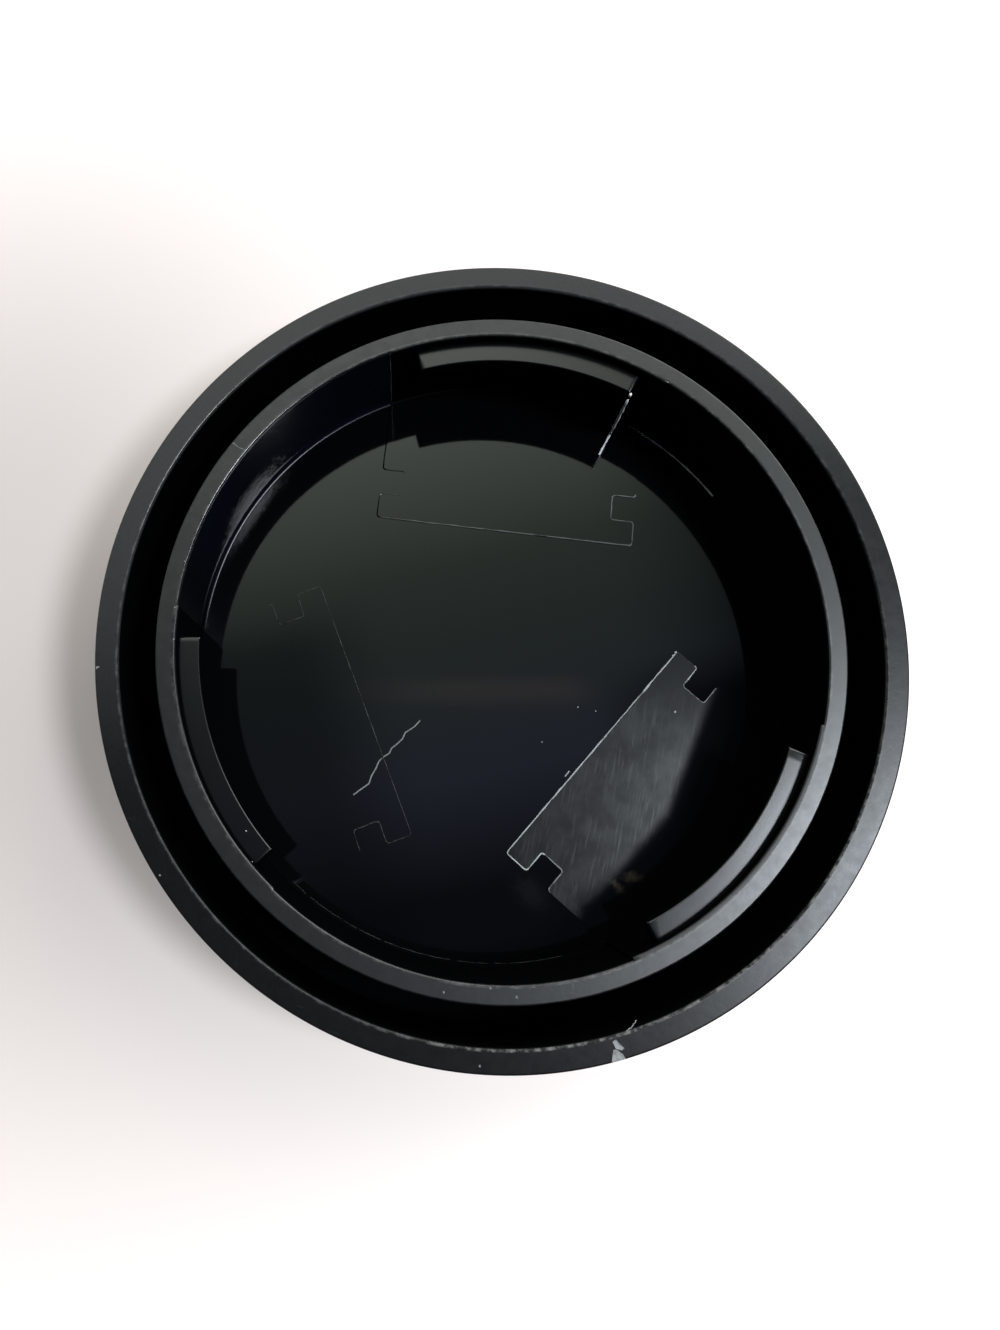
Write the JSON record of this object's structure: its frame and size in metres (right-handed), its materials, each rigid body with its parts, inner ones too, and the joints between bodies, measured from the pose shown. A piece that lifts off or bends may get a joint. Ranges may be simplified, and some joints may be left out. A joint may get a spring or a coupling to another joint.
{
  "type": "rear lens cap",
  "caption": "Round one-piece plastic rear cap for a camera lens: fluted outer skirt, deep groove, inner bayonet ring with inward lugs and a turn stop, and a flat closed face.",
  "frame": {"origin": "centre of the closed outer face, which the cap lies on", "axes": "+Z along the cap's axis towards the open mouth; +X through the middle of the widest gap between lugs, so the middle lug is at -X"},
  "size_m": [0.06, 0.06, 0.0126],
  "materials": {
    "black_plastic": "semi-gloss moulded black plastic"
  },
  "bodies": {
    "root": {"lens_cap": "black_plastic"}
  },
  "joints": []
}
